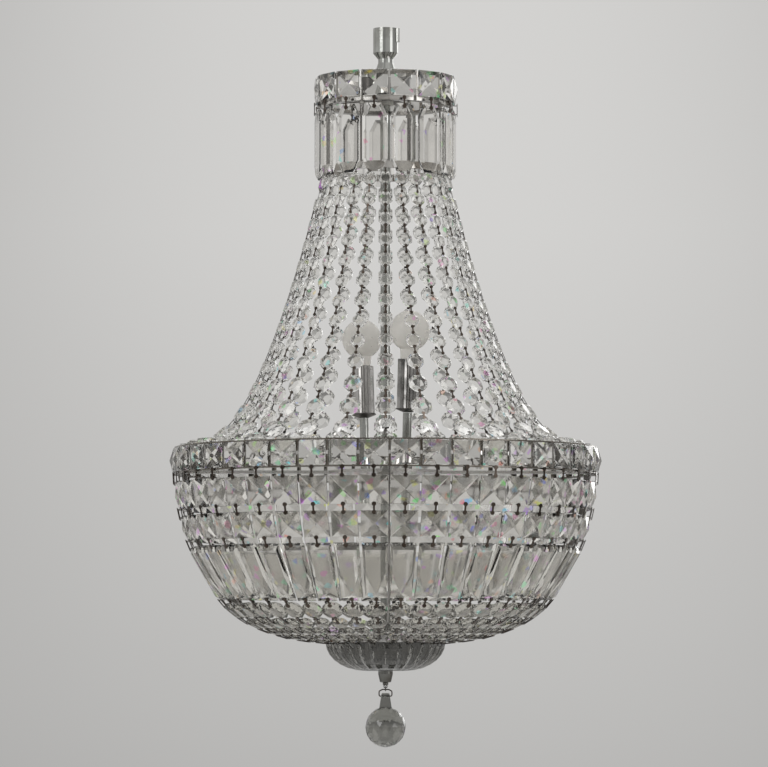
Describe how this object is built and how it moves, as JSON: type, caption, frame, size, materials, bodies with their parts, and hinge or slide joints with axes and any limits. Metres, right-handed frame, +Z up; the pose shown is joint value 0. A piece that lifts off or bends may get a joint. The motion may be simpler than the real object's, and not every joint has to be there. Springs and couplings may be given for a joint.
{
  "type": "crystal chandelier",
  "caption": "Basket chandelier with a crown of hanging prisms, strings of octagon crystals, a crystal basket, a glass dish and a hanging crystal ball.",
  "frame": {"origin": "centre of the stem coupling's top face, at the mouth of its threaded hole", "axes": "+Z up along the centre column, -Y towards the viewer of the picture (the front), +X to that viewer's right"},
  "size_m": [0.4314, 0.4314, 0.7213],
  "materials": {
    "crystal": "clear cut crystal with sharp facets",
    "dish_glass": "grey cut glass with radial flutes",
    "bulb_glass": "frosted white glass",
    "candle_cover": "polished, fluted",
    "chrome": "polished",
    "clip_metal": "dark nickel",
    "dark_metal": "satin black",
    "screw_steel": "plain zinc",
    "socket": "matt"
  },
  "bodies": {
    "root": {"stem_coupling": "chrome", "stem_grub_screw": "screw_steel", "center_column": "chrome", "column_nuts": "screw_steel", "crown_hub": "dark_metal", "crown_arms": "dark_metal", "crown_ring": "chrome", "crown_crystals": "crystal", "crown_prism_pins": "clip_metal", "support_posts": "chrome", "post_nuts": "screw_steel", "neck_ring": "chrome", "strand_octagons_14": "crystal", "strand_octagons_16": "crystal", "strand_octagons_18": "crystal", "strand_octagons_20": "crystal", "strand_octagons_22": "crystal", "strand_clips": "clip_metal", "main_ring_flanges": "chrome", "main_ring_bars": "chrome", "main_ring_crystals": "crystal", "main_ring_rivets": "chrome", "ring_hub": "chrome", "ring_spokes": "chrome", "basket_squares_28": "crystal", "basket_squares_26": "crystal", "basket_prisms": "crystal", "basket_octagons_20": "crystal", "basket_octagons_16": "crystal", "basket_octagons_14": "crystal", "basket_clips": "clip_metal", "basket_hoop": "chrome", "basket_ribs": "dark_metal", "bottom_ring": "chrome", "bottom_dish": "dish_glass", "bottom_finial": "chrome", "lamp_stems": "chrome", "drip_cups": "dark_metal", "candle_covers": "candle_cover", "lampholders": "socket", "bulbs": "bulb_glass"},
    "crown_prism_01_body": {"crown_prism_01": "crystal"},
    "crown_prism_02_body": {"crown_prism_02": "crystal"},
    "crown_prism_03_body": {"crown_prism_03": "crystal"},
    "crown_prism_04_body": {"crown_prism_04": "crystal"},
    "crown_prism_05_body": {"crown_prism_05": "crystal"},
    "crown_prism_06_body": {"crown_prism_06": "crystal"},
    "crown_prism_07_body": {"crown_prism_07": "crystal"},
    "crown_prism_08_body": {"crown_prism_08": "crystal"},
    "crown_prism_09_body": {"crown_prism_09": "crystal"},
    "crown_prism_10_body": {"crown_prism_10": "crystal"},
    "crown_prism_11_body": {"crown_prism_11": "crystal"},
    "crown_prism_12_body": {"crown_prism_12": "crystal"},
    "crown_prism_13_body": {"crown_prism_13": "crystal"},
    "crown_prism_14_body": {"crown_prism_14": "crystal"},
    "crown_prism_15_body": {"crown_prism_15": "crystal"},
    "pendant_link": {"pendant_jump_ring": "clip_metal", "pendant_bail": "clip_metal"},
    "crystal_ball_body": {"crystal_ball": "crystal"}
  },
  "joints": [
    {"name": "crown_prism_01_swing", "type": "hinge", "parent": "root", "child": "crown_prism_01_body", "pos_m": [0.0175, -0.0653, -0.088], "axis": [-0.9659, -0.2588, 0], "range_deg": [-1, 16]},
    {"name": "crown_prism_02_swing", "type": "hinge", "parent": "root", "child": "crown_prism_02_body", "pos_m": [0.04254, -0.05253, -0.088], "axis": [-0.7771, -0.6293, 0], "range_deg": [-1, 16]},
    {"name": "crown_prism_03_swing", "type": "hinge", "parent": "root", "child": "crown_prism_03_body", "pos_m": [0.06023, -0.03069, -0.088], "axis": [-0.454, -0.891, 0], "range_deg": [-1, 16]},
    {"name": "crown_prism_04_swing", "type": "hinge", "parent": "root", "child": "crown_prism_04_body", "pos_m": [0.06751, -0.00354, -0.088], "axis": [-0.0523, -0.9986, 0], "range_deg": [-1, 16]},
    {"name": "crown_prism_05_swing", "type": "hinge", "parent": "root", "child": "crown_prism_05_body", "pos_m": [0.06311, 0.02423, -0.088], "axis": [0.3584, -0.9336, 0], "range_deg": [-1, 16]},
    {"name": "crown_prism_06_swing", "type": "hinge", "parent": "root", "child": "crown_prism_06_body", "pos_m": [0.0478, 0.0478, -0.088], "axis": [0.7071, -0.7071, 0], "range_deg": [-1, 16]},
    {"name": "crown_prism_07_swing", "type": "hinge", "parent": "root", "child": "crown_prism_07_body", "pos_m": [0.02423, 0.06311, -0.088], "axis": [0.9336, -0.3584, 0], "range_deg": [-1, 16]},
    {"name": "crown_prism_08_swing", "type": "hinge", "parent": "root", "child": "crown_prism_08_body", "pos_m": [-0.00354, 0.06751, -0.088], "axis": [0.9986, 0.0523, 0], "range_deg": [-1, 16]},
    {"name": "crown_prism_09_swing", "type": "hinge", "parent": "root", "child": "crown_prism_09_body", "pos_m": [-0.03069, 0.06023, -0.088], "axis": [0.891, 0.454, 0], "range_deg": [-1, 16]},
    {"name": "crown_prism_10_swing", "type": "hinge", "parent": "root", "child": "crown_prism_10_body", "pos_m": [-0.05253, 0.04254, -0.088], "axis": [0.6293, 0.7771, 0], "range_deg": [-1, 16]},
    {"name": "crown_prism_11_swing", "type": "hinge", "parent": "root", "child": "crown_prism_11_body", "pos_m": [-0.0653, 0.0175, -0.088], "axis": [0.2588, 0.9659, 0], "range_deg": [-1, 16]},
    {"name": "crown_prism_12_swing", "type": "hinge", "parent": "root", "child": "crown_prism_12_body", "pos_m": [-0.06677, -0.01057, -0.088], "axis": [-0.1564, 0.9877, 0], "range_deg": [-1, 16]},
    {"name": "crown_prism_13_swing", "type": "hinge", "parent": "root", "child": "crown_prism_13_body", "pos_m": [-0.05669, -0.03682, -0.088], "axis": [-0.5446, 0.8387, 0], "range_deg": [-1, 16]},
    {"name": "crown_prism_14_swing", "type": "hinge", "parent": "root", "child": "crown_prism_14_body", "pos_m": [-0.03682, -0.05669, -0.088], "axis": [-0.8387, 0.5446, 0], "range_deg": [-1, 16]},
    {"name": "crown_prism_15_swing", "type": "hinge", "parent": "root", "child": "crown_prism_15_body", "pos_m": [-0.01057, -0.06677, -0.088], "axis": [-0.9877, 0.1564, 0], "range_deg": [-1, 16]},
    {"name": "pendant_sway", "type": "hinge", "parent": "root", "child": "pendant_link", "pos_m": [0, 0, -0.66081], "axis": [0, 1, 0], "range_deg": [-35, 35]},
    {"name": "ball_rock", "type": "hinge", "parent": "pendant_link", "child": "crystal_ball_body", "pos_m": [0, 0, -0.67051], "axis": [1, 0, 0], "range_deg": [-30, 30]}
  ]
}
